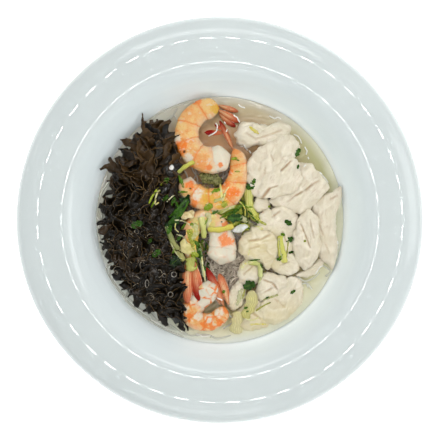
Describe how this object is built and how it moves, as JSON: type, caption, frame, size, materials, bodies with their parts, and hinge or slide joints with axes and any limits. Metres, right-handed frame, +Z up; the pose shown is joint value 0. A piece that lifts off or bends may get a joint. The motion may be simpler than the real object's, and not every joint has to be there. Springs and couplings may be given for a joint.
{
  "type": "bowl of vermicelli soup",
  "caption": "Wide-rimmed soup bowl of clear broth and glass vermicelli with wood ear shreds, curled prawns, poached chicken slices, leek and herbs.",
  "frame": {"origin": "middle of the bowl's foot, on the surface it stands on", "axes": "+Z up; +X to the right and +Y away from the diner as the bowl is seen from above"},
  "size_m": [0.27, 0.27, 0.054],
  "materials": {
    "porcelain": "clear glossy glaze",
    "broth": "clear thin liquid",
    "vermicelli": "wet, translucent",
    "wood_ear": "wet, wrinkled",
    "prawn": "wet flesh with orange bands",
    "chicken": "damp, fine grain",
    "leek": "damp, ribbed",
    "herb_leaf": "damp, veined",
    "garlic": "cut face"
  },
  "bodies": {
    "root": {"bowl_base": "porcelain", "bowl_wall": "porcelain", "bowl_rim": "porcelain", "broth": "broth", "vermicelli": "vermicelli", "wood_ear": "wood_ear", "prawn_1": "prawn", "prawn_2": "prawn", "prawn_3": "prawn", "prawn_4": "prawn", "chicken_1": "chicken", "chicken_2": "chicken", "chicken_3": "chicken", "chicken_4": "chicken", "chicken_5": "chicken", "chicken_6": "chicken", "chicken_7": "chicken", "chicken_8": "chicken", "chicken_9": "chicken", "chicken_10": "chicken", "chicken_11": "chicken", "chicken_12": "chicken", "chicken_13": "chicken", "chicken_14": "chicken", "chicken_15": "chicken", "chicken_16": "chicken", "chicken_17": "chicken", "shredded_leek": "leek", "leek_1": "leek", "leek_2": "leek", "leek_3": "leek", "leek_4": "leek", "leek_5": "leek", "leek_6": "leek", "leek_7": "leek", "leek_8": "leek", "leek_9": "leek", "leek_10": "leek", "leek_11": "leek", "leaf_1": "herb_leaf", "leaf_2": "herb_leaf", "leaf_3": "herb_leaf", "leaf_4": "herb_leaf", "leaf_5": "herb_leaf", "leaf_6": "herb_leaf", "garlic_1": "garlic", "garlic_2": "garlic", "garlic_3": "garlic"}
  },
  "joints": []
}
